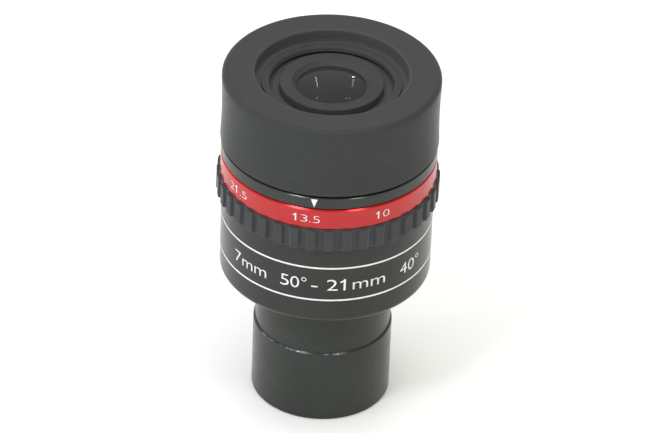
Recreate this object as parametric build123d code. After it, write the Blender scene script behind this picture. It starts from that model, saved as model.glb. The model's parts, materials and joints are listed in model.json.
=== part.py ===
from build123d import *
from math import cos, pi, radians, sin, sqrt
import os

os.makedirs("parts", exist_ok=True)

# A zoom eyepiece for a telescope.  Millimetres and degrees.  +Z is up along the optical axis,
# and the origin is the middle of the barrel's open end.  Azimuths are counted about +Z from +X.
# The index mark faces -Y, and the model stands at its 13.5 mm click.

# Fits
running = 0.08            # radial clearance of a running fit
seat = 0.02               # gap left at a threaded, pressed or cemented seat
rub = 0.03                # gap between flat faces that rub
play = 0.1                # room where nothing has to fit closely
small_edge = 0.15         # broken edge on turned parts
past = 1.0                # how far a cutter runs past the surface that it cuts
near = 0.01               # how close an edge must lie to a given place to be the one meant

# Heights of the stack
rim_z = 18.55             # top of the full-diameter part of the barrel
housing_z = 33.05         # underside of the lower housing
floor_z = 38.3            # top of the lower housing's floor
shelf_z = 48.6            # shelf that carries the zoom ring
housing_top_z = 53.2
grip_z = 53.3             # lower edge of the grip, which hides the gap under the zoom ring
track_z = 53.55           # underside of the zoom ring, where the click ball runs
grip_top_z = 58.8
scale_z = 58.9            # underside of the scale ring
zoom_top_z = 63.95
flange_z = 64.3           # underside of the upper housing's flange
flange_top_z = 67.05
cup_z = 67.65             # lower edge of the eyecup
bulkhead_z = 71.8
bulkhead_top_z = 73.8
tube_top_z = 80.9
cell_flange_z = [79.3, 80.3]  # flange of the eye cell, which closes the tube's top
cell_face_z = 82.25       # face of the eye cell
ledge_z = 82.4            # ledge inside the eyecup
cup_top_z = 84.8

# Radii of the stack
barrel_r = 15.875         # 1.25 inch barrel
undercut_r = 15.45
spigot_r = 14.88
barrel_bore_r = 13.9
filter_r = 14.25          # minor radius of the filter thread
filter_depth = 4.5
housing_r = 24.0
housing_bore_r = 19.6
collar_bore_r = 21.2      # bore that guides the zoom ring's skirt
guide_bore_r = 16.0
guide_r = 17.2
cam_r = 18.4
zoom_bore_r = 18.45
zoom_r = 23.3
ring_r = 24.4             # scale ring and index ring
grip_base_r = 24.55
rib_r = 25.2
flange_r = 22.5
tube_bore_r = 18.6
tube_r = 20.0
cell_r = 11.7             # eye cell
ledge_r = 14.0            # hole in the eyecup's ledge
channel_r = 15.7          # inner edge of the shallow channel round the ledge
channel_depth = 0.6
core_bore_r = 20.2
core_r = 22.0
cup_r = 24.6
cup_mouth_r = 17.25
upper_washer_r = 19.0

# Edges that show
foot_chamfer = 0.35       # open end of the barrel
barrel_chamfer = 0.35     # upper edge of the barrel's full diameter
rim_chamfer = 0.2         # upper edge of the lower housing
housing_round = 1.5       # lower edge of the housing
scale_chamfer = 0.3
index_chamfer = 0.15
ledge_chamfer = 0.25
cup_edge_round = 1.2      # outer edge of the eyecup's top
cup_mouth_round = 0.4
cup_foot_round = 0.4

# Zoom motion: the ring turns from +44.5 to -89 degrees, with a click every 44.5 degrees
click_step = 44.5
turn_back = -2 * click_step
variator_lead = 5.0       # rise of the variator per radian of cam angle
field_lead = -2.0         # rise of the field group per radian of cam angle
variator_pin_z = 58.0
field_pin_z = 45.5
variator_azimuths = [0, 180]
field_azimuths = [90, 270]
bush_r = 1.0
cam_slot_width = 2 * (bush_r + 0.1)
guide_slot_width = 2 * (bush_r + running)
slot_relief = 0.03        # extra radius of the holes at a cam slot's ends
slot_past = 0.6           # how far a cam slot's cutter runs past the sleeve's walls

# Grip ribs
rib_count = 40
rib_phase = -90.6         # azimuth of the rib nearest the index mark
rib_base_width = 2.9      # at the root
rib_tip_width = 1.9
rib_corner = 0.35
rib_z = [53.4, 58.7]
rib_end = 0.3             # rounding of the ribs' ends
rib_root = 0.3            # how deep a rib is rooted in the sleeve

# Click ball, its spring and the stop pin, all on one circle
track_r = 22.3
ball_r = 0.6
ball_lift = 0.3
ball_azimuth = 90
ball_hole_r = 0.66
ball_hole_z = 49.4
pocket_r = 0.7
spring_wire_r = 0.1
spring_turns = 5
pin_azimuth = 270
stop_pin_r = 0.6
stop_pin_z = [50.0, 54.8]
stop_groove_top_z = 55.0
stop_groove_half = 0.72

# Glides, cam sleeve and screws
glide = 0.3               # room for a glide washer
guide_flange = 1.5
cam_z = [floor_z + guide_flange + glide, 69.9]
lip_z = 70.3              # lower end of the upper housing's lip on the guide tube
screw_r = 1.0
drive_z = 50.4
drive_azimuths = [30, 150, 270]
drive_ends = [guide_r + 0.2, collar_bore_r - 0.25]
socket_depth = 0.6
ball_z = track_z - rub - ball_r

# O-ring between the upper housing's tube and the eyecup
o_ring_floor_r = 19.3
o_ring_groove_z = [79.5, 80.4]
o_ring_wire_r = 0.4
o_ring_stand = 0.15       # how far the O-ring stands proud of the tube

# Eye lens stack: heights are lower rim, cement and upper rim; a positive sag raises the middle
eye_lens_r = 9.75
eye_face_r = 8.9
eye_mouth_r = 7.9
eye_lip_z = 81.0
eye_lip = 0.15            # height of the lip's bore under its bevel
eye_front_sag = 1.1
eye_spacer_z = [77.3, 78.9]
eye_doublet_z = [73.2, 75.8, 77.0]
eye_doublet_sag = [0, -1.6, 1.2]
eye_retainer_z = [72.0, 73.2]
eye_clear_r = 8.8
eye_retainer_r = 8.6

# Variator stack
variator_z = [54.6, 63.6]
variator_lens_r = 12.15
variator_lip_r = 11.2
variator_lip = 0.8
variator_top_sag = 1.6
variator_spacer_z = [59.6, 60.9]
variator_doublet_z = [55.6, 58.3, 59.4]
variator_doublet_sag = [0, -1.8, 1.0]
variator_retainer_z = [54.8, 55.6]
variator_clear_r = 11.3

# Field stack
field_z = [43.0, 48.0]
neck_r = 12.9
neck_z = 12.6
neck_bore_r = 10.6
field_lens_r = 11.55
field_lens_top_z = 20.2
field_doublet_z = [14.6, 16.2, 20.18]
field_doublet_sag = [0, 1.5, -1.2]
field_retainer_z = [13.2, 14.6]
field_clear_r = 10.4
stop_seat_r = 12.5
stop_depth = 0.9
stop_hole_r = 8.6

# Follower pins
pin_r = 0.6
pin_head_r = [18.15, 18.35]
variator_pin_inner_r = 12.75
field_pin_inner_r = 13.5
pin_head_gap = 0.05       # how much smaller than its bush a pin's head is
driver_slot = [0.3, 0.08] # width and depth of the slot in a pin's head

# Spanner notches in the retaining rings
notch_width = 1.3
notch_depth = 0.45

# Eyecup travel
cup_travel = 8.0
cup_screw_z = 70.0
cup_screw_r = 0.9
cup_screw_azimuths = [30, 150, 270]
cup_screw_ends = [tube_bore_r + 0.15, core_r - 0.1]
cup_slot_sink = 0.4       # how far the guide slots are sunk into the tube's bulkhead
cup_waist = 0.2           # how far the eyecup's side is drawn in at mid height
cup_straight = [0.9, 2.0] # straight lengths of the eyecup's side below and above the waist
core_set_back = 0.3       # how far the core ends above the rubber's lower edge
core_gap = 0.2            # between the tube's top and the ledge


def turned(*outline):
    """Solid turned about the axis from a closed outline of (radius, height) points."""
    return revolve(make_face(Plane.XZ * Polyline(*outline, close=True)), Axis.Z)


def turned_curve(*edges):
    """Solid turned about the axis from an outline of lines and arcs."""
    return revolve(make_face(Plane.XZ * Curve(edges)), Axis.Z)


def ring(inner_r, outer_r, low_z, high_z):
    """Plain ring of rectangular section."""
    return turned((inner_r, low_z), (outer_r, low_z), (outer_r, high_z), (inner_r, high_z))


def rims(solid, radius, height):
    """Circular edges of a turned solid at one radius and height."""
    found = solid.edges().filter_by(GeomType.CIRCLE)
    return [e for e in found if abs(e.radius - radius) < near and abs(e.arc_center.Z - height) < near]


def broken(solid, size, *places):
    """Chamfer the circular edges at the given (radius, height) places."""
    return chamfer([e for r, z in places for e in rims(solid, r, z)], size)


def rounded(solid, size, *places):
    """Round the circular edges at the given (radius, height) places."""
    return fillet([e for r, z in places for e in rims(solid, r, z)], size)


def radial_plane(azimuth, radius, height):
    """Plane across a radius, with its normal pointing outwards and its x axis along the rim."""
    turn = radians(azimuth)
    return Plane(
        origin=(radius * cos(turn), radius * sin(turn), height),
        x_dir=(-sin(turn), cos(turn), 0),
        z_dir=(cos(turn), sin(turn), 0),
    )


def radial_rod(azimuth, height, inner_r, outer_r, rod_r):
    """Cylinder that lies along a radius."""
    return extrude(radial_plane(azimuth, inner_r, height) * Circle(rod_r), outer_r - inner_r)


def upright_rod(azimuth, low_z, high_z, rod_r):
    """Cylinder that stands on the circle of the click ball and the stop pin."""
    turn = radians(azimuth)
    place = Pos(track_r * cos(turn), track_r * sin(turn), low_z)
    return place * extrude(Circle(rod_r), high_z - low_z)


def straight_slot(azimuth, inner_r, outer_r, low_z, high_z, width):
    """Cutter for an upright slot with round ends, whose end centres are at the given heights."""
    plane = radial_plane(azimuth, inner_r, (low_z + high_z) / 2)
    outline = SlotCenterToCenter(high_z - low_z, width, rotation=90)
    return extrude(plane * outline, outer_r - inner_r)


def with_cam_slot(sleeve, azimuth, pin_z, lead):
    """Cut the helical slot that a follower pin runs in, with a hole at each end of its travel."""
    inner_r = guide_r - slot_past
    outer_r = cam_r + slot_past
    low_turn = -click_step
    high_turn = -turn_back
    climb = abs(lead) * radians(high_turn - low_turn)
    path = Helix(2 * pi * abs(lead), climb, (inner_r + outer_r) / 2, lefthand=lead < 0)
    plane = Plane(origin=path @ 0, x_dir=(1, 0, 0), z_dir=path % 0)
    groove = sweep(plane * Rectangle(outer_r - inner_r, cam_slot_width), path=path, is_frenet=True)
    start = low_turn if lead > 0 else high_turn
    sleeve -= Pos(0, 0, pin_z + lead * radians(start)) * Rot(0, 0, azimuth + start) * groove
    for turn in (low_turn, high_turn):
        end_z = pin_z + lead * radians(turn)
        sleeve -= radial_rod(azimuth + turn, end_z, inner_r, outer_r, cam_slot_width / 2 + slot_relief)
    return sleeve


def surface(rim_r, rim_z, sag):
    """Half section of a lens surface from its pole on the axis to its rim."""
    pole = (0, rim_z + sag)
    if sag == 0:
        return Line(pole, (rim_r, rim_z))
    return ThreePointArc(pole, (rim_r / 2, surface_z(rim_r, rim_z, sag, rim_r / 2)), (rim_r, rim_z))


def surface_z(rim_r, rim_z, sag, radius):
    """Height of a lens surface at one radius."""
    sphere = (rim_r**2 + sag**2) / (2 * abs(sag))
    drop = sphere - sqrt(sphere**2 - radius**2)
    return rim_z + sag - drop if sag > 0 else rim_z + sag + drop


def lens(rim_r, low_z, low_sag, high_z, high_sag):
    """Lens element; a positive sag raises the middle of a surface above its rim."""
    return turned_curve(
        surface(rim_r, high_z, high_sag),
        Line((rim_r, high_z), (rim_r, low_z)),
        surface(rim_r, low_z, low_sag),
        Line((0, low_z + low_sag), (0, high_z + high_sag)),
    )


def retainer(inner_r, outer_r, low_z, high_z):
    """Threaded retaining ring with two notches for a spanner in its lower face."""
    notch = Pos(0, 0, low_z) * Box(2 * outer_r + past, notch_width, 2 * notch_depth)
    return ring(inner_r, outer_r, low_z, high_z) - notch


def group(solids):
    """Several separate solids as one node."""
    return Compound(children=list(solids))


def nosepiece():
    """Barrel that slides into the focuser, with a filter thread in its open end."""
    body = turned(
        (filter_r, 0), (barrel_r, 0), (barrel_r, rim_z), (undercut_r, rim_z), (undercut_r, housing_z),
        (spigot_r, housing_z), (spigot_r, floor_z), (barrel_bore_r, floor_z), (barrel_bore_r, filter_depth),
        (filter_r, filter_depth),
    )
    body = broken(body, foot_chamfer, (barrel_r, 0))
    return broken(body, barrel_chamfer, (barrel_r, rim_z))


def lower_housing():
    """Fixed lower shell, with the shelf and collar that carry the zoom ring."""
    body = turned(
        (spigot_r + seat, housing_z), (housing_r, housing_z), (housing_r, housing_top_z),
        (collar_bore_r, housing_top_z), (collar_bore_r, shelf_z), (housing_bore_r, shelf_z),
        (housing_bore_r, floor_z), (spigot_r + seat, floor_z),
    )
    body = rounded(body, housing_round, (housing_r, housing_z))
    body = broken(body, rim_chamfer, (housing_r, housing_top_z))
    body -= upright_rod(ball_azimuth, ball_hole_z, housing_top_z + past, ball_hole_r)
    return body - upright_rod(pin_azimuth, stop_pin_z[0], housing_top_z + past, stop_pin_r + seat)


def guide_tube():
    """Fixed tube whose straight slots stop the lens groups from turning."""
    tube = ring(guide_bore_r, guide_r, floor_z, bulkhead_z)
    tube += ring(guide_bore_r, housing_bore_r - seat, floor_z, floor_z + guide_flange)
    for azimuths, pin_z, lead in (
        (variator_azimuths, variator_pin_z, variator_lead),
        (field_azimuths, field_pin_z, field_lead),
    ):
        low_z, high_z = pin_limits(pin_z, lead)
        for azimuth in azimuths:
            tube -= straight_slot(
                azimuth, guide_bore_r - past, guide_r + past, low_z, high_z, guide_slot_width
            )
    return tube


def pin_limits(pin_z, lead):
    """Lowest and highest place of a follower pin over the zoom ring's travel."""
    ends = [pin_z - lead * radians(turn) for turn in (click_step, turn_back)]
    return min(ends), max(ends)


def cam_sleeve():
    """Turning sleeve whose helical slots drive the two lens groups along the axis."""
    sleeve = ring(guide_r + running, cam_r, cam_z[0], cam_z[1])
    for azimuth in variator_azimuths:
        sleeve = with_cam_slot(sleeve, azimuth, variator_pin_z, variator_lead)
    for azimuth in field_azimuths:
        sleeve = with_cam_slot(sleeve, azimuth, field_pin_z, field_lead)
    for azimuth in drive_azimuths:
        sleeve -= radial_rod(azimuth, drive_z, guide_r, cam_r + past, screw_r + seat)
    return sleeve


def zoom_ring():
    """Ring that the hand turns, under the grip and the scale."""
    skirt_r = collar_bore_r - running
    body = turned(
        (zoom_bore_r, shelf_z + glide), (skirt_r, shelf_z + glide), (skirt_r, track_z),
        (zoom_r, track_z), (zoom_r, zoom_top_z), (zoom_bore_r, zoom_top_z),
    )
    for turn in (click_step, 0, -click_step, turn_back):
        place = radians(ball_azimuth - turn)
        centre = (track_r * cos(place), track_r * sin(place), ball_z + ball_lift)
        body -= Pos(*centre) * Sphere(pocket_r)
    body -= stop_groove()
    for azimuth in drive_azimuths:
        body -= radial_rod(azimuth, drive_z, cam_r, skirt_r + past, screw_r + seat)
    return body


def stop_groove():
    """Cutter for the arc groove that the stop pin runs in."""
    low_z = track_z - past
    outline = Rectangle(2 * stop_groove_half, stop_groove_top_z - low_z)
    section = Plane.XZ * Pos(track_r, (low_z + stop_groove_top_z) / 2) * outline
    groove = revolve(section, Axis.Z, click_step - turn_back)
    groove = Rot(0, 0, pin_azimuth - click_step) * groove
    for turn in (click_step, turn_back):
        groove += upright_rod(pin_azimuth - turn, low_z, stop_groove_top_z, stop_groove_half)
    return groove


def grip_sleeve():
    """Rubber sleeve with ribs for the fingers."""
    sleeve = ring(zoom_r + seat, grip_base_r, grip_z, grip_top_z)
    sleeve = broken(sleeve, small_edge, (grip_base_r, grip_z), (grip_base_r, grip_top_z))
    foot_r = grip_base_r - rib_root
    past_r = rib_r + past
    foot = rib_base_width / 2
    tip = rib_tip_width / 2
    outline = make_face(Polyline(
        (foot_r, -foot), (rib_r, -tip), (past_r, -tip), (past_r, tip), (rib_r, tip), (foot_r, foot), close=True,
    ))
    bar = Pos(0, 0, rib_z[0]) * extrude(outline, rib_z[1] - rib_z[0])
    envelope = rounded(ring(foot_r, rib_r, *rib_z), rib_end, (rib_r, rib_z[0]), (rib_r, rib_z[1]))
    rib = bar & envelope
    upright = [e for e in rib.edges() if e.geom_type == GeomType.LINE and e.center().X > grip_base_r]
    rib = fillet(upright, rib_corner)
    spacing = 360 / rib_count
    return sleeve + [Rot(0, 0, rib_phase + spacing * i) * rib for i in range(rib_count)]


def scale_ring():
    """Coloured ring that carries the focal-length numbers."""
    body = ring(zoom_r + seat, ring_r, scale_z, zoom_top_z)
    body = broken(body, scale_chamfer, (ring_r, zoom_top_z))
    return broken(body, small_edge, (ring_r, scale_z))


def index_ring():
    """Fixed ring with the index mark."""
    body = ring(flange_r + seat, ring_r, flange_z, flange_top_z)
    body = broken(body, index_chamfer, (ring_r, flange_top_z))
    return broken(body, small_edge, (ring_r, flange_z))


def upper_housing():
    """Fixed upper shell: flange, bulkhead for the eye cell and the tube that the eyecup slides on."""
    body = turned(
        (guide_r + seat, lip_z), (guide_r + seat, bulkhead_z), (cell_r + seat, bulkhead_z),
        (cell_r + seat, bulkhead_top_z), (tube_bore_r, bulkhead_top_z), (tube_bore_r, tube_top_z),
        (tube_r, tube_top_z), (tube_r, flange_top_z), (flange_r, flange_top_z), (flange_r, flange_z),
        (tube_bore_r, flange_z), (tube_bore_r, lip_z),
    )
    body = broken(body, small_edge, (tube_r, tube_top_z))
    body -= ring(o_ring_floor_r, tube_r + past, *o_ring_groove_z)
    for azimuth in cup_screw_azimuths:
        body -= straight_slot(
            azimuth, tube_bore_r - cup_slot_sink, tube_r + past, cup_screw_z - play,
            cup_screw_z + cup_travel + play, 2 * (cup_screw_r + running),
        )
    return body


def o_ring():
    """O-ring that gives the sliding eyecup its drag."""
    place = Pos(tube_r + o_ring_stand - o_ring_wire_r, sum(o_ring_groove_z) / 2)
    return revolve(Plane.XZ * place * Circle(o_ring_wire_r), Axis.Z)


def eyecup_rubber():
    """Soft outer cup, with a flat top for the eye socket and a slightly waisted side."""
    inner_r = core_r + seat
    foot_z = ledge_z + seat
    side_z = [cup_z + cup_straight[0], cup_top_z - cup_straight[1]]
    body = turned_curve(
        Line((inner_r, cup_z), (cup_r, cup_z)),
        Line((cup_r, cup_z), (cup_r, side_z[0])),
        ThreePointArc((cup_r, side_z[0]), (cup_r - cup_waist, sum(side_z) / 2), (cup_r, side_z[1])),
        Line((cup_r, side_z[1]), (cup_r, cup_top_z)),
        Line((cup_r, cup_top_z), (cup_mouth_r, cup_top_z)),
        Line((cup_mouth_r, cup_top_z), (cup_mouth_r, foot_z)),
        Line((cup_mouth_r, foot_z), (inner_r, foot_z)),
        Line((inner_r, foot_z), (inner_r, cup_z)),
    )
    body = rounded(body, cup_edge_round, (cup_r, cup_top_z))
    body = rounded(body, cup_mouth_round, (cup_mouth_r, cup_top_z))
    return rounded(body, cup_foot_round, (cup_r, cup_z))


def eyecup_core():
    """Stiff sleeve inside the eyecup, whose ledge surrounds the eye cell."""
    low_z = cup_z + core_set_back
    under_z = tube_top_z + core_gap
    body = turned(
        (core_bore_r, low_z), (core_r, low_z), (core_r, ledge_z), (ledge_r, ledge_z),
        (ledge_r, under_z), (core_bore_r, under_z),
    )
    body = broken(body, ledge_chamfer, (ledge_r, ledge_z))
    body -= ring(channel_r, cup_mouth_r, ledge_z - channel_depth, ledge_z + past)
    for azimuth in cup_screw_azimuths:
        body -= radial_rod(azimuth, cup_screw_z, tube_r, core_r + past, cup_screw_r + seat)
    return body


def eyecup_guide_screws():
    """Screws in the core whose tips run in the tube's slots."""
    return group(
        socket_screw(azimuth, cup_screw_z, *cup_screw_ends, cup_screw_r) for azimuth in cup_screw_azimuths
    )


def socket_screw(azimuth, height, inner_r, outer_r, rod_r):
    """Headless screw along a radius, with a hexagon socket in its outer end."""
    rod = radial_rod(azimuth, height, inner_r, outer_r, rod_r)
    foot = radial_plane(azimuth, outer_r - socket_depth, height)
    return rod - extrude(foot * RegularPolygon(rod_r / 2, 6), socket_depth + past)


def eye_cell():
    """Cell that holds the eye lenses; its face rings the visible lens and its flange closes the tube."""
    rim_r = tube_bore_r - seat
    body = turned(
        (eye_lens_r + seat, bulkhead_z), (cell_r, bulkhead_z), (cell_r, cell_flange_z[0]),
        (rim_r, cell_flange_z[0]), (rim_r, cell_flange_z[1]), (cell_r, cell_flange_z[1]),
        (cell_r, cell_face_z), (eye_face_r, cell_face_z), (eye_mouth_r, eye_lip_z + eye_lip),
        (eye_mouth_r, eye_lip_z), (eye_lens_r + seat, eye_lip_z),
    )
    return broken(body, small_edge, (cell_r, cell_face_z))


def eye_lens_front():
    """Top element of the eyepiece, seated against the cell's lip."""
    edge_z = eye_lip_z - seat - surface_z(eye_lens_r, 0, eye_front_sag, eye_mouth_r)
    return lens(eye_lens_r, eye_spacer_z[1], 0, edge_z, eye_front_sag)


def doublet(rim_r, low_z, cement_z, high_z, low_sag, cement_sag, high_sag):
    """The two elements of a cemented doublet, lower and upper."""
    lower = lens(rim_r, low_z, low_sag, cement_z - seat, cement_sag)
    upper = lens(rim_r, cement_z, cement_sag, high_z, high_sag)
    return lower, upper


def lens_cell(skirt_z, lip_r, bore_r, lip_depth):
    """Cell that slides in the guide tube, with a lens bore open below and a lip above."""
    outer_r = guide_bore_r - running
    low_z, high_z = skirt_z
    body = turned(
        (bore_r, low_z), (outer_r, low_z), (outer_r, high_z), (lip_r, high_z),
        (lip_r, high_z - lip_depth), (bore_r, high_z - lip_depth),
    )
    return broken(body, small_edge, (outer_r, low_z), (outer_r, high_z))


def variator_cell():
    """Upper moving cell."""
    cell = lens_cell(variator_z, variator_lip_r, variator_lens_r + seat, variator_lip)
    for azimuth in variator_azimuths:
        cell -= radial_rod(azimuth, variator_pin_z, variator_pin_inner_r - play, guide_bore_r, pin_r + seat)
    return cell


def field_cell():
    """Lower moving cell, whose neck carries the field lens down into the barrel."""
    outer_r = guide_bore_r - running
    body = turned(
        (field_lens_r + seat, neck_z), (neck_r, neck_z), (neck_r, field_z[0]), (outer_r, field_z[0]),
        (outer_r, field_z[1]), (stop_seat_r, field_z[1]), (stop_seat_r, field_z[1] - stop_depth),
        (neck_bore_r, field_z[1] - stop_depth), (neck_bore_r, field_lens_top_z),
        (field_lens_r + seat, field_lens_top_z),
    )
    body = broken(body, small_edge, (outer_r, field_z[0]), (outer_r, field_z[1]), (neck_r, neck_z))
    for azimuth in field_azimuths:
        body -= radial_rod(azimuth, field_pin_z, field_pin_inner_r - play, guide_bore_r, pin_r + seat)
    return body


def follower_pins(azimuths, height, inner_r):
    """Shoulder screws that carry the bushes, with a slotted head outside each bush."""
    pins = []
    for azimuth in azimuths:
        rod = radial_rod(azimuth, height, inner_r, pin_head_r[0], pin_r)
        head = radial_rod(azimuth, height, *pin_head_r, bush_r - pin_head_gap)
        floor = radial_plane(azimuth, pin_head_r[1] - driver_slot[1], height)
        slot = extrude(floor * Rectangle(3 * bush_r, driver_slot[0]), past)
        pins.append(rod + head - slot)
    return group(pins)


def follower_bushes(azimuths, height):
    """Rollers that run in the straight and the helical slot."""
    return group(
        radial_rod(azimuth, height, guide_bore_r, pin_head_r[0] - rub, bush_r)
        - radial_rod(azimuth, height, guide_bore_r - past, pin_head_r[1], pin_r + seat)
        for azimuth in azimuths
    )


def click_spring():
    """Coil spring under the click ball."""
    low_z = ball_hole_z + spring_wire_r
    height = ball_z - ball_r - seat - spring_wire_r - low_z
    coil_r = ball_hole_r - play - spring_wire_r
    path = Helix(height / spring_turns, height, coil_r)
    section = Plane(origin=path @ 0, z_dir=path % 0) * Circle(spring_wire_r)
    turn = radians(ball_azimuth)
    return Pos(track_r * cos(turn), track_r * sin(turn), low_z) * sweep(section, path=path, is_frenet=True)


def click_ball():
    """Ball that drops into the zoom ring's pockets."""
    turn = radians(ball_azimuth)
    return Pos(track_r * cos(turn), track_r * sin(turn), ball_z) * Sphere(ball_r)


variator_rim_z = variator_z[1] - variator_lip - seat - surface_z(
    variator_lens_r, 0, variator_top_sag, variator_lip_r
)
eye_flint, eye_crown = doublet(eye_lens_r, *eye_doublet_z, *eye_doublet_sag)
variator_flint, variator_crown = doublet(variator_lens_r, *variator_doublet_z, *variator_doublet_sag)
field_lower, field_upper = doublet(field_lens_r, *field_doublet_z, *field_doublet_sag)

nodes = {
    "nosepiece": nosepiece(),
    "lower_housing": lower_housing(),
    "guide_tube": guide_tube(),
    "cam_glide_washer": ring(guide_r + play, housing_bore_r - 2 * play, cam_z[0] - glide, cam_z[0] - rub),
    "lower_glide_washer": ring(housing_bore_r + play, collar_bore_r - play, shelf_z, shelf_z + glide - rub),
    "upper_glide_washer": ring(upper_washer_r, flange_r - play, zoom_top_z + rub, flange_z),
    "stop_pin": upright_rod(pin_azimuth, *stop_pin_z, stop_pin_r),
    "click_ball": click_ball(),
    "click_spring": click_spring(),
    "zoom_ring": zoom_ring(),
    "cam_sleeve": cam_sleeve(),
    "zoom_drive_screws": group(
        socket_screw(azimuth, drive_z, *drive_ends, screw_r) for azimuth in drive_azimuths
    ),
    "grip_sleeve": grip_sleeve(),
    "scale_ring": scale_ring(),
    "upper_housing": upper_housing(),
    "index_ring": index_ring(),
    "eyecup_o_ring": o_ring(),
    "eye_cell": eye_cell(),
    "eye_lens_front": eye_lens_front(),
    "eye_lens_spacer": ring(eye_clear_r, eye_lens_r, *eye_spacer_z),
    "eye_doublet_crown": eye_crown,
    "eye_doublet_flint": eye_flint,
    "eye_lens_retainer": retainer(eye_retainer_r, eye_lens_r, *eye_retainer_z),
    "eyecup_rubber": eyecup_rubber(),
    "eyecup_core": eyecup_core(),
    "eyecup_guide_screws": eyecup_guide_screws(),
    "variator_cell": variator_cell(),
    "variator_lens": lens(variator_lens_r, variator_spacer_z[1], 0, variator_rim_z, variator_top_sag),
    "variator_spacer": ring(variator_clear_r, variator_lens_r, *variator_spacer_z),
    "variator_doublet_crown": variator_crown,
    "variator_doublet_flint": variator_flint,
    "variator_retainer": retainer(variator_clear_r, variator_lens_r, *variator_retainer_z),
    "variator_pins": follower_pins(variator_azimuths, variator_pin_z, variator_pin_inner_r),
    "variator_bushes": follower_bushes(variator_azimuths, variator_pin_z),
    "field_cell": field_cell(),
    "field_lens_upper": field_upper,
    "field_lens_lower": field_lower,
    "field_retainer": retainer(field_clear_r, field_lens_r, *field_retainer_z),
    "field_stop": ring(stop_hole_r, stop_seat_r - seat, field_z[1] - stop_depth, field_z[1] - play),
    "field_pins": follower_pins(field_azimuths, field_pin_z, field_pin_inner_r),
    "field_bushes": follower_bushes(field_azimuths, field_pin_z),
}

for name, shape in nodes.items():
    export_step(shape, f"parts/{name}.step")
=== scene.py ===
import json
from math import atan2, cos, pi, radians, sin, sqrt

import bmesh
import bpy
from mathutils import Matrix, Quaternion, Vector


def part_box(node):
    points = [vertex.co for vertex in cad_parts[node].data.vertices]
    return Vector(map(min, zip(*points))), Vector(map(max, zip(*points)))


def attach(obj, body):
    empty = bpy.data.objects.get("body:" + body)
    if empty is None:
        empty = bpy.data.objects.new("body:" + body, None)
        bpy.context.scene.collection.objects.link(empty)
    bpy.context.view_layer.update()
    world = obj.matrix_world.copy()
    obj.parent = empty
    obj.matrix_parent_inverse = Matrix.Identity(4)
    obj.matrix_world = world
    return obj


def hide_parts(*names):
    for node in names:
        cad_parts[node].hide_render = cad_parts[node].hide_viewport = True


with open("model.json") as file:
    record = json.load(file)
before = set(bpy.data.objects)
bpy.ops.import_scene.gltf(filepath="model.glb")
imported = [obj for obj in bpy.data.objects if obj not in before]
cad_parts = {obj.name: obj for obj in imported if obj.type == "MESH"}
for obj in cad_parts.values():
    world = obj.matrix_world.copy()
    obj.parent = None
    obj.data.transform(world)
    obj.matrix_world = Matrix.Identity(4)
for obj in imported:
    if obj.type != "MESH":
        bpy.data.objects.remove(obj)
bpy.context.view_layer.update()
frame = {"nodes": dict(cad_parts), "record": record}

# Metres and radians.  The optical axis is Z and the index mark faces -Y.  "Angle" is counted about
# the axis from -Y towards +X, so it grows to the right for someone who looks at the index mark.
MM = 0.001
SCENE = bpy.context.scene

# ---------------------------------------------------------------- places read from the frame
housing_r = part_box("lower_housing")[1].x
scale_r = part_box("scale_ring")[1].x
index_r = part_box("index_ring")[1].x
barrel_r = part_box("nosepiece")[1].x
eye_lens_low, eye_lens_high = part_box("eye_lens_front")

# ---------------------------------------------------------------- camera
CAMERA_ANGLE = radians(6.7)
CAMERA_ELEVATION = radians(34.6)
CAMERA_DISTANCE = 1.2627
CAMERA_ROLL = radians(2.29)
CAMERA_LENS = 308.6               # long lens and sensor width, in millimetres as Blender counts them
SENSOR_WIDTH = 36.0
AIM_HEIGHT = 45.6 * MM
AIM_SIDE = -0.34 * MM             # the object stands a little to the right of the picture's middle

# ---------------------------------------------------------------- paint
PAINT_LIFT = 0.012 * MM           # gap between the metal and the back of the paint
PAINT_THICK = 0.02 * MM
LINE_WIDTH = 0.42 * MM
LINE_HEIGHTS = (39.4 * MM, 48.05 * MM)
TEXT_BASE = 42.05 * MM
TEXT_HEIGHT = 3.05 * MM
HOUSING_TEXT = (                  # words, start angle and width in degrees
    ("7mm", -50.2, 24.2),
    ("50°", -17.3, 14.6),
    ("-", 0.0, 3.5),
    ("21mm", 8.3, 33.0),
    ("40°", 51.7, 15.6),
)
SCALE_TEXT = (                    # words, start angle and width in degrees
    ("21.5", -55.6, 15.0),
    ("13.5", -11.1, 14.4),
    ("10", 33.4, 8.0),
    ("7.2", 79.8, 10.6),
)
SCALE_TEXT_BASE = 60.5 * MM
SCALE_TEXT_HEIGHT = 1.92 * MM
MARK_WIDTH = 1.5 * MM
MARK_TOP = 66.78 * MM
MARK_TIP = 64.66 * MM

# Lettering: each glyph's ink width and advance are in digit heights
GLYPHS = {
    ".": (0.14, 0.39),
    "-": (0.4, 0.47),
    "°": (0.38, 0.56),
    "m": (0.98, 1.16),
}
DIGIT_GLYPH = (0.66, 0.78)
DIGIT_HEIGHT = 0.7                # of the built-in font at its own size
TEXT_WEIGHT = -0.006              # stroke offset of the built-in font
SCALE_TEXT_WEIGHT = -0.02
TEXT_SLICE = 0.4 * MM             # width of the strips a word is cut into before it is bent
TEXT_MERGE = 1e-7                 # points closer than this are one
CURVE_STEPS = 6                   # divisions of each curved stroke
# The "1" is an outline of its own: an upright with a short flag, in digit heights
ONE = (
    (0.3, 0.0), (0.43, 0.0), (0.43, 1.0), (0.34, 1.0),
    (0.25, 0.87), (0.1, 0.79), (0.1, 0.66), (0.3, 0.76),
)

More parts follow.
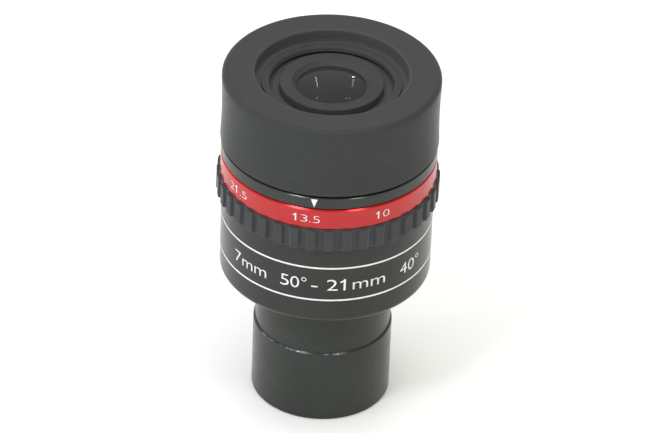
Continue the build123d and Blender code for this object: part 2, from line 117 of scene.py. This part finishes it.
# ---------------------------------------------------------------- finish
CHAMFER = 0.35 * MM               # on the upper edge of the barrel's full diameter
RIM_HEIGHT = 18.55 * MM           # that edge's height
# Stretches of the barrel rim's chamfer painted bright: rubbed-through metal and a painted highlight of the
# lamps.
WEAR_AND_GLINT_STRETCHES = (                # start and end in degrees
    (-55.0, -36.0), (-31.0, -7.0), (8.0, 14.0), (16.0, 24.0),
)
THREAD_PITCH = 0.6 * MM           # filter thread
THREAD_ROOT = 14.21 * MM
THREAD_CREST = 13.93 * MM
THREAD_FROM = 0.35 * MM
THREAD_TURNS = 6
THREAD_STEPS = 96                 # divisions of one turn
THREAD_HALF = 0.42 * THREAD_PITCH  # half the width of the ridge at its root
THREAD_FLAT = 0.15                # crest width over root width
RING_STEPS = 256                  # divisions of a painted line
LENS_STEPS = 160                  # divisions of the eye lens round the axis and across its dome
LENS_RINGS = 28
LENS_BACK_STRIDE = 9              # the flat back has one ring for this many of the dome's
CORNER = radians(35)              # edges sharper than this stay crisp
EYE_LENS_SAG = 1.1 * MM           # how far the dome rises above its rim
LEDGE_RADIUS = 14.0 * MM          # hole in the eyecup's ledge
CHANNEL_RADIUS = 15.7 * MM        # inner edge of the channel round the ledge
MOUTH_RADIUS = 17.25 * MM         # the eyecup's mouth and the round on its edge
MOUTH_ROUND = 0.4 * MM
CELL_RADIUS = 11.7 * MM           # outer wall of the eye cell
BEVEL_RADIUS = 8.9 * MM           # outer edge of the eye cell's bevel

EDGE = 0.02 * MM                  # width of the step between two finishes of one node
SOFT = (0.3, 0.7)                 # range of a noise that fades evenly from one finish to another
BLAST = 0.004 * MM                # depth of the blasted grain on anodised metal
FINE_GRAIN = 0.004 * MM           # and of the grain on paint, bare metal and small parts
TURNING_DENSITY = 5200.0          # how closely turning lines and scuffs are packed, per metre
SCUFF_DENSITY = 1400.0
SCUFFS_ROUND = 5.0                # how often a scuff breaks off round the axis
LATHE_DENSITY = (3000.0, 6000.0)  # of the marks on bare metal, per metre of radius and of height
CHAMFER_ROUGHNESS = 0.14
RUBBER_SHEEN = 0.38

# ---------------------------------------------------------------- room
WORLD_FRONT = 0.93                # strength of the white room in front of the object and behind it
WORLD_BACK = 1.15
WORLD_LEFT = 1.22                 # how the room brightens to the left and darkens to the right
WORLD_RIGHT = 0.72
COOL_SIDE = (0.96, 0.98, 1.03, 1.0)  # the room's colour to the left and to the right
WARM_SIDE = (1.0, 0.985, 0.87, 1.0)
LAMPS = (                         # name, angle, elevation, distance, width, height, watts, colour
    ("lamp_left", -30.3, 52.0, 1.2, 0.2, 0.22, 3.6, (0.95, 0.97, 1.0)),
    ("lamp_right", 43.7, 52.0, 1.2, 0.18, 0.18, 1.5, (1.0, 0.98, 0.93)),
    ("lamp_window", -65.0, 14.0, 1.2, 0.2, 0.3, 1.8, (0.95, 0.97, 1.0)),
    ("lamp_top", 60.0, 78.0, 1.3, 0.5, 0.5, 1.6, (1.0, 0.99, 0.96)),
    ("lamp_front", 26.0, 20.0, 1.4, 0.08, 0.2, 0.6, (1.0, 1.0, 1.0)),
)
STRIPS = (                        # name, angle and elevation of each end, width, watts, colour
    ("strip_left", 192.3, 26.8, 192.9, 38.3, 0.009, 0.2, (0.72, 0.88, 1.0)),
    ("strip_right", 179.4, 26.6, 178.0, 35.4, 0.01, 0.13, (0.8, 0.4, 1.0)),
    ("strip_spot", 179.9, 23.5, 179.9, 24.8, 0.018, 0.1, (1.0, 0.95, 1.0)),
    ("strip_low_left", 195.0, 47.4, 195.0, 48.4, 0.02, 0.05, (1.0, 0.35, 0.3)),
    ("strip_low_right", 178.1, 46.6, 178.1, 47.8, 0.018, 0.09, (1.0, 0.5, 0.45)),
    ("strip_low_end", 176.1, 46.0, 176.1, 46.8, 0.014, 0.04, (1.0, 0.3, 0.35)),
)
STRIP_DISTANCE = 1.5
FLOOR_HALF = 3                    # half the floor's width


# ---------------------------------------------------------------- node helpers
class Nodes:
    """Short names for building one material's node tree."""

    def __init__(self, name):
        self.material = bpy.data.materials.new(name)
        self.material.use_nodes = True
        self.tree = self.material.node_tree
        self.shader = self.tree.nodes["Principled BSDF"]
        self.position = self.add("ShaderNodeTexCoord").outputs["Object"]

    def add(self, kind, **settings):
        node = self.tree.nodes.new(kind)
        for key, value in settings.items():
            setattr(node, key, value)
        return node

    def link(self, source, target):
        self.tree.links.new(source, target)

    def put(self, value, slot):
        """Give a socket a number, a colour or a link."""
        if isinstance(value, (int, float)):
            slot.default_value = value
        elif isinstance(value, tuple):
            slot.default_value = (*value, 1.0)
        else:
            self.link(value, slot)

    def math(self, operation, *values):
        node = self.add("ShaderNodeMath", operation=operation)
        for slot, value in zip(node.inputs, values):
            self.put(value, slot)
        return node.outputs[0]

    def noise(self, scale, detail=3.0, roughness=0.5, vector=None):
        node = self.add("ShaderNodeTexNoise")
        node.inputs["Scale"].default_value = scale
        node.inputs["Detail"].default_value = detail
        node.inputs["Roughness"].default_value = roughness
        self.link(vector or self.position, node.inputs["Vector"])
        return node.outputs["Fac"]

    def between(self, value, low, high, out_low=0.0, out_high=1.0):
        node = self.add("ShaderNodeMapRange")
        for key, number in (("From Min", low), ("From Max", high), ("To Min", out_low), ("To Max", out_high)):
            node.inputs[key].default_value = number
        self.link(value, node.inputs["Value"])
        return node.outputs["Result"]

    def blend(self, factor, first, second):
        """Plain number between two values or sockets."""
        node = self.add("ShaderNodeMix")
        for slot, value in zip((0, 2, 3), (factor, first, second)):
            self.put(value, node.inputs[slot])
        return node.outputs[0]

    def mix(self, factor, first, second):
        """Colour between two colours or sockets."""
        node = self.add("ShaderNodeMix", data_type="RGBA")
        for slot, value in zip((0, 6, 7), (factor, first, second)):
            self.put(value, node.inputs[slot])
        return node.outputs[2]

    def split(self):
        node = self.add("ShaderNodeSeparateXYZ")
        self.link(self.position, node.inputs[0])
        return node.outputs

    def radius(self):
        x, y, _ = self.split()
        squares = self.math("ADD", self.math("MULTIPLY", x, x), self.math("MULTIPLY", y, y))
        return self.math("SQRT", squares)

    def angle(self):
        x, y, _ = self.split()
        return self.math("ARCTAN2", x, self.math("MULTIPLY", y, -1.0))

    def vector(self, x, y, z):
        node = self.add("ShaderNodeCombineXYZ")
        for slot, value in zip(node.inputs, (x, y, z)):
            self.put(value, slot)
        return node.outputs[0]

    def bump(self, height, distance, strength=1.0, normal=None):
        node = self.add("ShaderNodeBump")
        node.inputs["Strength"].default_value = strength
        node.inputs["Distance"].default_value = distance
        self.link(height, node.inputs["Height"])
        if normal:
            self.link(normal, node.inputs["Normal"])
        return node.outputs[0]

    def source(self, name):
        """What is linked to one of the shader's sockets."""
        return self.shader.inputs[name].links[0].from_socket

    def set(self, **values):
        """Set or link the shader's sockets; an underscore in a name stands for a space."""
        for key, value in values.items():
            self.put(value, self.shader.inputs[key.replace("_", " ")])


# ---------------------------------------------------------------- materials
def anodised(name, dark, light, roughness, specular, edge_r=None):
    """Fine-blasted anodised aluminium: slight mottling, faint turning lines, a soft satin gloss.

    Surfaces inside edge_r, such as a ring's chamfer, are cut smooth.  The result's wall is 1 outside it.
    """
    n = Nodes(name)
    z = n.split()["Z"]
    mottle = n.noise(scale=90.0, detail=4.0)
    turning = n.noise(scale=1.0, detail=2.0, vector=n.vector(
        n.math("MULTIPLY", n.radius(), TURNING_DENSITY), 0.0, n.math("MULTIPLY", z, TURNING_DENSITY)))
    grain = n.noise(scale=9000.0, detail=2.0)
    rough = n.between(n.noise(scale=260.0), *SOFT, roughness - 0.03, roughness + 0.04)
    if edge_r:
        n.wall = n.between(n.radius(), edge_r - 1.5 * EDGE, edge_r - 0.5 * EDGE)
        rough = n.blend(n.wall, CHAMFER_ROUGHNESS, rough)
    normal = n.bump(turning, distance=0.5 * BLAST, strength=0.6)
    n.set(Base_Color=n.mix(n.between(mottle, *SOFT), dark, light), Roughness=rough,
          Specular_IOR_Level=specular, Normal=n.bump(grain, distance=BLAST, strength=0.8, normal=normal))
    return n


def black_anodised():
    return anodised("black_anodised", dark=(0.021, 0.023, 0.0205), light=(0.028, 0.03, 0.027),
                    roughness=0.2, specular=0.27).material


def index_anodised():
    return anodised("index_anodised", dark=(0.024, 0.027, 0.024), light=(0.032, 0.035, 0.032),
                    roughness=0.24, specular=0.3, edge_r=index_r).material


def inner_anodised():
    return anodised("inner_anodised", dark=(0.05, 0.05, 0.048), light=(0.062, 0.062, 0.06),
                    roughness=0.55, specular=0.3).material


def red_anodised():
    """Red anodising over turned metal, which draws each lamp out into an upright stripe."""
    n = anodised("red_anodised", dark=(0.41, 0.007, 0.008), light=(0.46, 0.01, 0.011),
                 roughness=0.45, specular=0.1, edge_r=scale_r)
    n.set(Metallic=0.35, Anisotropic=0.6, Tangent=n.add("ShaderNodeTangent", axis="Z").outputs[0],
          Coat_Weight=n.blend(n.wall, 0.15, 0.75), Coat_Roughness=0.2)
    return n.material


def cell_anodised():
    """Dull black face of the eye cell; its bevel, bore and outside wall are painted a lighter grey as painted
    light for their shade.
    """
    n = anodised("cell_anodised", dark=(0.027, 0.029, 0.027), light=(0.036, 0.038, 0.036),
                 roughness=0.58, specular=0.22)
    wall = n.between(n.radius(), CELL_RADIUS - 1.5 * EDGE, CELL_RADIUS - 0.5 * EDGE)
    face = n.between(n.radius(), BEVEL_RADIUS - 2.5 * EDGE, BEVEL_RADIUS - EDGE)
    # Painted light: a lighter grey inside the bevel's edge, so that the shaded bevel and bore don't go black.
    inside = n.mix(face, (0.042, 0.044, 0.043), n.source("Base Color"))
    # Painted light: a lighter grey still on the shaded outside wall.
    n.set(Base_Color=n.mix(wall, inside, (0.06, 0.06, 0.059)))
    return n.material


def core_plastic():
    """Matt moulded core; the shaded channel round its ledge and the wall of its hole are painted a lighter
    grey as painted light.
    """
    n = Nodes("core_plastic")
    cloud = n.between(n.noise(scale=160.0, detail=4.0), 0.35, 0.65)
    tone = n.mix(cloud, (0.032, 0.032, 0.0315), (0.041, 0.041, 0.04))
    channel = n.between(n.radius(), CHANNEL_RADIUS - 2.5 * EDGE, CHANNEL_RADIUS)
    # Painted light: lighter grey in the shaded channel round the ledge.
    tone = n.mix(channel, tone, (0.075, 0.075, 0.075))
    hole = n.between(n.radius(), LEDGE_RADIUS, LEDGE_RADIUS + EDGE, 1.0, 0.0)
    # Painted light: lighter grey on the shaded wall of the ledge's hole.
    n.set(Base_Color=n.mix(hole, tone, (0.07, 0.07, 0.07)), Roughness=n.between(cloud, 0.0, 1.0, 0.6, 0.68),
          Specular_IOR_Level=0.24,
          Normal=n.bump(n.noise(scale=4200.0, detail=2.0), distance=0.006 * MM, strength=0.8))
    return n.material


def barrel_anodised():
    """The barrel's black anodising, with stretches of the rim's chamfer painted a bright bluish part-metal
    grey: rubbed-through metal and a painted highlight of the lamps.
    """
    n = anodised("barrel_anodised", dark=(0.022, 0.025, 0.0215), light=(0.028, 0.031, 0.027),
                 roughness=0.24, specular=0.28)
    z = n.split()["Z"]
    near = n.math("ABSOLUTE", n.math("SUBTRACT", z, RIM_HEIGHT - 0.6 * CHAMFER))
    band = n.between(near, 0.2 * CHAMFER, 0.35 * CHAMFER, 1.0, 0.0)
    outside = n.between(n.radius(), barrel_r - 1.5 * CHAMFER, barrel_r - CHAMFER)
    angle = n.angle()
    wear_and_glint = 0.0
    for start, end in WEAR_AND_GLINT_STRETCHES:
        middle, half = radians((start + end) / 2), radians((end - start) / 2)
        away = n.math("ABSOLUTE", n.math("SUBTRACT", angle, middle))
        wear_and_glint = n.math("MAXIMUM", wear_and_glint, n.between(away, 0.6 * half, half, 1.0, 0.0))
    nibble = n.between(n.noise(scale=1500.0), 0.42, 0.56)
    # Painted highlight and rubbed-through metal: a bright bluish grey on these stretches of the chamfer.
    wear_and_glint_mask = n.math("MULTIPLY", n.math("MULTIPLY", band, outside), n.math("MULTIPLY", wear_and_glint, nibble))
    n.set(Base_Color=n.mix(wear_and_glint_mask, n.source("Base Color"), (0.2, 0.21, 0.26)),
          Metallic=n.math("MULTIPLY", wear_and_glint_mask, 0.35))
    return n.material


def moulded_rubber(name, dark, light, roughness, specular, pebble):
    """Matt rubber: fine moulded grain, cloudy bloom, faint scuffs round the axis and a little dust."""
    n = Nodes(name)
    z = n.split()["Z"]
    cloud = n.between(n.noise(scale=55.0, detail=5.0, roughness=0.6), 0.32, 0.68)
    dust = n.between(n.noise(scale=2300.0, detail=1.0), 0.76, 0.82)
    along = n.noise(scale=1.0, roughness=0.65, vector=n.vector(
        n.math("MULTIPLY", n.radius(), SCUFF_DENSITY), n.math("MULTIPLY", n.angle(), SCUFFS_ROUND),
        n.math("MULTIPLY", z, SCUFF_DENSITY)))
    patch = n.between(n.noise(scale=42.0, detail=2.0), 0.46, 0.62)
    scuff = n.math("MULTIPLY", n.between(along, 0.55, 0.72), patch)
    tone = n.mix(cloud, dark, light)
    tone = n.mix(n.math("MULTIPLY", dust, 0.2), tone, (0.3, 0.3, 0.29))
    tone = n.mix(n.math("MULTIPLY", scuff, 0.06), tone, (0.2, 0.2, 0.2))
    grain = n.noise(scale=5200.0, roughness=0.6)
    n.set(Base_Color=tone, Roughness=n.between(cloud, 0.0, 1.0, roughness, roughness + 0.08),
          Specular_IOR_Level=specular, Sheen_Weight=RUBBER_SHEEN, Sheen_Roughness=0.28,
          Normal=n.bump(grain, distance=pebble, strength=0.9))
    return n


def cup_rubber():
    """The eyecup's rubber, duller inside its mouth, where a lighter grey is painted light for the shaded
    inner wall.
    """
    n = moulded_rubber("cup_rubber", dark=(0.026, 0.028, 0.028), light=(0.033, 0.035, 0.035),
                       roughness=0.64, specular=0.28, pebble=0.012 * MM)
    top = n.between(n.radius(), MOUTH_RADIUS + MOUTH_ROUND, MOUTH_RADIUS + 1.75 * MOUTH_ROUND)
    # Painted light: lighter grey on the shaded inside of the mouth and its round.
    n.set(Base_Color=n.mix(top, (0.055, 0.057, 0.059), n.source("Base Color")),
          Roughness=n.blend(top, 1.0, n.source("Roughness")),
          Sheen_Weight=n.blend(top, 0.0, RUBBER_SHEEN))
    return n.material


def grip_rubber():
    return moulded_rubber("grip_rubber", dark=(0.032, 0.033, 0.036), light=(0.041, 0.042, 0.045),
                          roughness=0.6, specular=0.3, pebble=0.01 * MM).material


def paint():
    """White screen-printed paint with slightly uneven ink."""
    n = Nodes("white_paint")
    ink = n.between(n.noise(scale=700.0), *SOFT)
    n.set(Base_Color=n.mix(ink, (0.66, 0.67, 0.67), (0.8, 0.81, 0.81)), Roughness=0.42,
          Normal=n.bump(n.noise(scale=5000.0), distance=FINE_GRAIN, strength=0.6))
    return n.material


def coated_glass():
    """Lens glass over a dark interior; its coating leaves a faint violet reflection."""
    n = Nodes("coated_glass")
    cloud = n.between(n.noise(scale=40.0), 0.35, 0.65)
    # Three quarters of the surface is a dull dark grey: painted light standing in for the light that the
    # lens's inner surfaces send back.
    n.set(Base_Color=n.mix(cloud, (0.043, 0.04, 0.043), (0.039, 0.038, 0.041)), Roughness=0.0,
          Transmission_Weight=0.25, IOR=1.18, Specular_IOR_Level=0.3, Specular_Tint=(0.35, 0.31, 0.39))
    return n.material


def metal(name, dark, light, roughness):
    """Bare turned metal with fine circumferential marks."""
    across, upright = LATHE_DENSITY
    n = Nodes(name)
    z = n.split()["Z"]
    lines = n.noise(scale=1.0, vector=n.vector(
        n.math("MULTIPLY", n.radius(), across), 0.0, n.math("MULTIPLY", z, upright)))
    n.set(Base_Color=n.mix(n.between(lines, *SOFT), dark, light),
          Roughness=n.between(lines, *SOFT, roughness, roughness + 0.1), Metallic=1.0,
          Normal=n.bump(lines, distance=FINE_GRAIN, strength=0.5))
    return n.material


def plain_plastic(name, dark, light, roughness):
    """Smooth plastic or rubber of the hidden small parts."""
    n = Nodes(name)
    n.set(Base_Color=n.mix(n.between(n.noise(scale=300.0), *SOFT), dark, light), Roughness=roughness,
          Normal=n.bump(n.noise(scale=4000.0), distance=FINE_GRAIN, strength=0.6))
    return n.material


def floor_material():
    n = Nodes("white_floor")
    n.set(Base_Color=n.mix(n.noise(scale=30.0), (0.93, 0.935, 0.925), (0.95, 0.95, 0.945)), Roughness=0.6,
          Specular_IOR_Level=0.2)
    return n.material


# ---------------------------------------------------------------- mesh helpers
def mesh_object(name, points, faces, material, smooth=True):
    mesh = bpy.data.meshes.new(name)
    mesh.from_pydata(points, [], faces)
    mesh.update()
    piece = bpy.data.objects.new(name, mesh)
    SCENE.collection.objects.link(piece)
    piece.data.materials.append(material)
    for face in mesh.polygons:
        face.use_smooth = smooth
    return piece


def at(radius, angle, height):
    """Point at an angle about the axis."""
    return (radius * sin(angle), -radius * cos(angle), height)


def band(a, b, count):
    """Faces that join two closed loops of points, whose first points are numbers a and b."""
    return [(a + i, b + i, b + (i + 1) % count, a + (i + 1) % count) for i in range(count)]


def turned(name, outline, material):
    """Closed ring turned about the axis from a closed outline of (radius, height)."""
    steps, count = RING_STEPS, len(outline)
    points = []
    for step in range(steps):
        turn = 2 * pi * step / steps
        points += [at(r, turn, z) for r, z in outline]
    faces = []
    for step in range(steps):
        faces += band(step * count, (step + 1) % steps * count, count)
    piece = mesh_object(name, points, faces, material)
    outward(piece)
    return piece


def outward(piece):
    """Make the mesh's faces point outwards."""
    shape = bmesh.new()
    shape.from_mesh(piece.data)
    bmesh.ops.recalc_face_normals(shape, faces=shape.faces)
    shape.to_mesh(piece.data)
    shape.free()


def sharp_by_angle(piece):
    """Keep real corners crisp on a smooth-shaded mesh."""
    shape = bmesh.new()
    shape.from_mesh(piece.data)
    for edge in shape.edges:
        if len(edge.link_faces) == 2 and edge.calc_face_angle() > CORNER:
            edge.smooth = False
    shape.to_mesh(piece.data)
    shape.free()


# ---------------------------------------------------------------- pieces
def filter_thread(material):
    """Helical thread ridge in the barrel's open end."""
    steps = THREAD_STEPS
    half, flat = THREAD_HALF, THREAD_HALF * THREAD_FLAT
    section = ((THREAD_ROOT, -half), (THREAD_CREST, -flat), (THREAD_CREST, flat), (THREAD_ROOT, half))
    count = len(section)
    points = []
    for step in range(steps * THREAD_TURNS + 1):
        turn = 2 * pi * step / steps
        rise = THREAD_FROM + half + THREAD_PITCH * step / steps
        points += [at(r, turn, rise + z) for r, z in section]
    faces = [tuple(range(count)), tuple(range(len(points) - count, len(points)))]
    for step in range(steps * THREAD_TURNS):
        faces += band(step * count, (step + 1) * count, count)
    piece = mesh_object("filter_thread", points, faces, material)
    outward(piece)
    sharp_by_angle(piece)
    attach(piece, "housing")


def eye_lens(material):
    """Polished eye lens: a finely divided dome over a flat back."""
    rings, steps = LENS_RINGS, LENS_STEPS
    rim_r, pole_z = eye_lens_high.x, eye_lens_high.z
    sphere = (rim_r ** 2 + EYE_LENS_SAG ** 2) / (2 * EYE_LENS_SAG)
    dome = []
    for i in range(1, rings + 1):
        r = rim_r * i / rings
        dome.append((r, pole_z - sphere + sqrt(sphere ** 2 - r ** 2)))
    outline = dome + [(rim_r * i / rings, eye_lens_low.z) for i in range(rings, 0, -LENS_BACK_STRIDE)]
    count = len(outline)
    points = [(0, 0, pole_z), (0, 0, eye_lens_low.z)]
    for step in range(steps):
        turn = 2 * pi * step / steps
        points += [at(r, turn, z) for r, z in outline]
    faces = []
    for step in range(steps):
        a, b = 2 + step * count, 2 + (step + 1) % steps * count
        faces.append((0, a, b))
        faces += [(a + i, a + i + 1, b + i + 1, b + i) for i in range(count - 1)]
        faces.append((a + count - 1, 1, b + count - 1))
    piece = mesh_object("eye_lens_glass", points, faces, material)
    outward(piece)
    sharp_by_angle(piece)
    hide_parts("eye_lens_front")
    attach(piece, "housing")


# ---------------------------------------------------------------- painted marks
def wrapped(piece, radius, start_angle, base_height):
    """Bend a flat mesh, drawn in its X-Y plane with Z outwards, round the axis."""
    for vertex in piece.data.vertices:
        along, up, out = vertex.co
        vertex.co = at(radius + PAINT_LIFT + out, start_angle + along / radius, base_height + up)
    piece.data.update()


def font_glyph(letter, weight):
    """Flat mesh of one letter of the built-in font."""
    curve = bpy.data.curves.new("glyph", "FONT")
    curve.body = letter
    curve.offset = weight
    curve.resolution_u = CURVE_STEPS
    holder = bpy.data.objects.new("glyph", curve)
    SCENE.collection.objects.link(holder)
    bpy.context.view_layer.update()
    mesh = bpy.data.meshes.new_from_object(holder)
    bpy.data.objects.remove(holder)
    return mesh


def add_glyph(shape, letter, start, weight):
    """Add one letter to a bmesh, in digit heights, and return where the next one starts."""
    if letter == "1":
        shape.faces.new([shape.verts.new((start + x, y, 0)) for x, y in ONE])
        return start + DIGIT_GLYPH[1]
    ink, advance = GLYPHS.get(letter, DIGIT_GLYPH)
    before = len(shape.verts)
    shape.from_mesh(font_glyph(letter, weight))
    shape.verts.ensure_lookup_table()
    new = shape.verts[before:]
    low = min(v.co.x for v in new)
    span = max(v.co.x for v in new) - low
    for vertex in new:
        vertex.co.x = start + (advance - ink) / 2 + (vertex.co.x - low) * ink / span
        vertex.co.y /= DIGIT_HEIGHT
    return start + advance


def flat_text(name, words, height, width, weight):
    """Words as a thin flat mesh, lower left corner at the origin, scaled to a height and a width."""
    shape = bmesh.new()
    place = 0
    for letter in words:
        place = add_glyph(shape, letter, place, weight)
    low = min(v.co.x for v in shape.verts)
    scale = width / (max(v.co.x for v in shape.verts) - low)
    for vertex in shape.verts:
        vertex.co = ((vertex.co.x - low) * scale, vertex.co.y * height, 0)
    slice_upright(shape)
    thicken(shape)
    mesh = bpy.data.meshes.new(name)
    shape.to_mesh(mesh)
    shape.free()
    piece = bpy.data.objects.new(name, mesh)
    SCENE.collection.objects.link(piece)
    return piece


def slice_upright(shape):
    """Cut a flat mesh at even steps along X, so that it bends smoothly."""
    high = max(v.co.x for v in shape.verts)
    cut = TEXT_SLICE
    while cut < high:
        everything = shape.verts[:] + shape.edges[:] + shape.faces[:]
        bmesh.ops.bisect_plane(shape, geom=everything, plane_co=(cut, 0, 0), plane_no=(1, 0, 0))
        cut += TEXT_SLICE


def thicken(shape):
    """Give a flat mesh the thickness of paint, closed all round."""
    bmesh.ops.remove_doubles(shape, verts=shape.verts, dist=TEXT_MERGE)
    grown = bmesh.ops.extrude_face_region(shape, geom=shape.faces[:])
    for item in grown["geom"]:
        if isinstance(item, bmesh.types.BMVert):
            item.co.z += PAINT_THICK
    bmesh.ops.recalc_face_normals(shape, faces=shape.faces)


def painted_line(name, height, radius, material):
    half = LINE_WIDTH / 2
    back, front = radius + PAINT_LIFT, radius + PAINT_LIFT + PAINT_THICK
    outline = [(back, height - half), (front, height - half), (front, height + half), (back, height + half)]
    piece = turned(name, outline, material)
    sharp_by_angle(piece)
    return piece


def index_mark(material):
    """Triangle on the index ring, point down."""
    half = MARK_WIDTH / 2
    points = [(-half, 0, 0), (half, 0, 0), (0, MARK_TIP - MARK_TOP, 0)]
    piece = mesh_object("index_mark", points, [(0, 1, 2)], material, smooth=False)
    shape = bmesh.new()
    shape.from_mesh(piece.data)
    thicken(shape)
    shape.to_mesh(piece.data)
    shape.free()
    wrapped(piece, index_r, 0.0, MARK_TOP)
    return piece


def add_words(name, words, start, width, height, radius, base, weight, body, material):
    """One group of letters round a ring."""
    piece = flat_text(name, words, height, radians(width) * radius, weight)
    piece.data.materials.append(material)
    wrapped(piece, radius, radians(start), base)
    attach(piece, body)


def add_paint(material):
    radius = housing_r
    for i, height in enumerate(LINE_HEIGHTS):
        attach(painted_line(f"housing_line_{i + 1}", height, radius, material), "housing")
    for i, group in enumerate(HOUSING_TEXT):
        add_words(f"housing_text_{i + 1}", *group, TEXT_HEIGHT, radius, TEXT_BASE, TEXT_WEIGHT,
                  "housing", material)
    for i, group in enumerate(SCALE_TEXT):
        add_words(f"scale_text_{i + 1}", *group, SCALE_TEXT_HEIGHT, scale_r, SCALE_TEXT_BASE,
                  SCALE_TEXT_WEIGHT, "zoom_control", material)
    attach(index_mark(material), "housing")


# ---------------------------------------------------------------- room
def direction(angle, elevation):
    """Unit vector from the object, at an angle about the axis and an elevation above the floor."""
    return Vector(at(cos(elevation), angle, sin(elevation)))


def add_camera():
    data = bpy.data.cameras.new("camera")
    data.lens = CAMERA_LENS
    data.sensor_width = SENSOR_WIDTH
    data.clip_start = 0.01
    data.clip_end = 20.0
    camera = bpy.data.objects.new("camera", data)
    SCENE.collection.objects.link(camera)
    back = direction(CAMERA_ANGLE, CAMERA_ELEVATION)
    aim = Vector((cos(CAMERA_ANGLE) * AIM_SIDE, sin(CAMERA_ANGLE) * AIM_SIDE, AIM_HEIGHT))
    camera.location = aim + back * CAMERA_DISTANCE
    camera.rotation_mode = "QUATERNION"
    camera.rotation_quaternion = (-back).to_track_quat("-Z", "Y") @ Quaternion((0, 0, 1), CAMERA_ROLL)
    SCENE.camera = camera


def from_axis(angle, elevation, distance):
    """Point at a distance from the middle of the object."""
    return Vector((0, 0, AIM_HEIGHT)) + direction(radians(angle), radians(elevation)) * distance


def area_lamp(name, place, width, height, power, colour):
    """Rectangular lamp aimed at the object, upright."""
    data = bpy.data.lights.new(name, "AREA")
    data.shape = "RECTANGLE"
    data.size = width
    data.size_y = height
    data.energy = power
    data.color = colour
    lamp = bpy.data.objects.new(name, data)
    SCENE.collection.objects.link(lamp)
    lamp.location = place
    lamp.rotation_mode = "QUATERNION"
    lamp.rotation_quaternion = (place - Vector((0, 0, AIM_HEIGHT))).to_track_quat("Z", "Y")
    return lamp


def add_light(name, angle, elevation, distance, width, height, power, colour):
    """Soft rectangular lamp."""
    area_lamp(name, from_axis(angle, elevation, distance), width, height, power, colour)


def add_strip(name, start_angle, start_elevation, end_angle, end_elevation, width, power, colour):
    """Thin lamp stretched between two directions; the polished lens shows it as a streak."""
    start = from_axis(start_angle, start_elevation, STRIP_DISTANCE)
    end = from_axis(end_angle, end_elevation, STRIP_DISTANCE)
    along = end - start
    lamp = area_lamp(name, (start + end) / 2, width, along.length, power, colour)
    local = lamp.rotation_quaternion.inverted() @ along
    lamp.rotation_quaternion @= Quaternion((0, 0, 1), atan2(-local.x, local.y))


def add_room():
    world = bpy.data.worlds.new("white_room")
    SCENE.world = world
    world.use_nodes = True
    tree = world.node_tree
    place = tree.nodes.new("ShaderNodeTexCoord")
    axes = tree.nodes.new("ShaderNodeSeparateXYZ")
    tree.links.new(place.outputs["Generated"], axes.inputs[0])

    def ramp(axis, start, end):
        """Number that runs from start to end along an axis of the room."""
        node = tree.nodes.new("ShaderNodeMapRange")
        node.inputs["From Min"].default_value = -1.0
        node.inputs["To Min"].default_value = start
        node.inputs["To Max"].default_value = end
        tree.links.new(axes.outputs[axis], node.inputs["Value"])
        return node.outputs["Result"]

    tint = tree.nodes.new("ShaderNodeMix")
    tint.data_type = "RGBA"
    tint.inputs[6].default_value = COOL_SIDE
    tint.inputs[7].default_value = WARM_SIDE
    tree.links.new(ramp(0, 0.0, 1.0), tint.inputs[0])
    strength = tree.nodes.new("ShaderNodeMath")
    strength.operation = "MULTIPLY"
    tree.links.new(ramp(1, WORLD_FRONT, WORLD_BACK), strength.inputs[0])
    tree.links.new(ramp(0, WORLD_LEFT, WORLD_RIGHT), strength.inputs[1])
    back = tree.nodes["Background"]
    tree.links.new(tint.outputs[2], back.inputs["Color"])
    tree.links.new(strength.outputs[0], back.inputs["Strength"])
    half = FLOOR_HALF
    floor = mesh_object("floor", [(-half, -half, 0), (half, -half, 0), (half, half, 0), (-half, half, 0)],
                        [(0, 1, 2, 3)], floor_material(), smooth=False)
    for values in LAMPS:
        add_light(*values)
    for values in STRIPS:
        add_strip(*values)
    SCENE.view_settings.view_transform = "Standard"


# ---------------------------------------------------------------- build
glass = coated_glass()
by_slot = {
    "anodised_black": black_anodised(),
    "anodised_inner": inner_anodised(),
    "anodised_red": red_anodised(),
    "soft_rubber": cup_rubber(),
    "grip_rubber": grip_rubber(),
    "moulded_black": core_plastic(),
    "nitrile": plain_plastic("nitrile_rubber", (0.015, 0.015, 0.015), (0.025, 0.025, 0.025), roughness=0.4),
    "ptfe": plain_plastic("white_glide", (0.8, 0.8, 0.77), (0.88, 0.88, 0.85), roughness=0.35),
    "steel": metal("ground_steel", (0.5, 0.5, 0.5), (0.66, 0.66, 0.65), roughness=0.25),
    "brass": metal("turned_brass", (0.68, 0.5, 0.2), (0.8, 0.62, 0.3), roughness=0.28),
    "coated_glass": glass,
}
for part in frame["record"]["subparts"]:
    frame["nodes"][part["node"]].material_slots[0].material = by_slot[part["material_slot"]]
barrel = barrel_anodised()
frame["nodes"]["nosepiece"].material_slots[0].material = barrel
frame["nodes"]["eye_cell"].material_slots[0].material = cell_anodised()
frame["nodes"]["index_ring"].material_slots[0].material = index_anodised()

eye_lens(glass)
filter_thread(barrel)
add_paint(paint())
add_camera()
add_room()
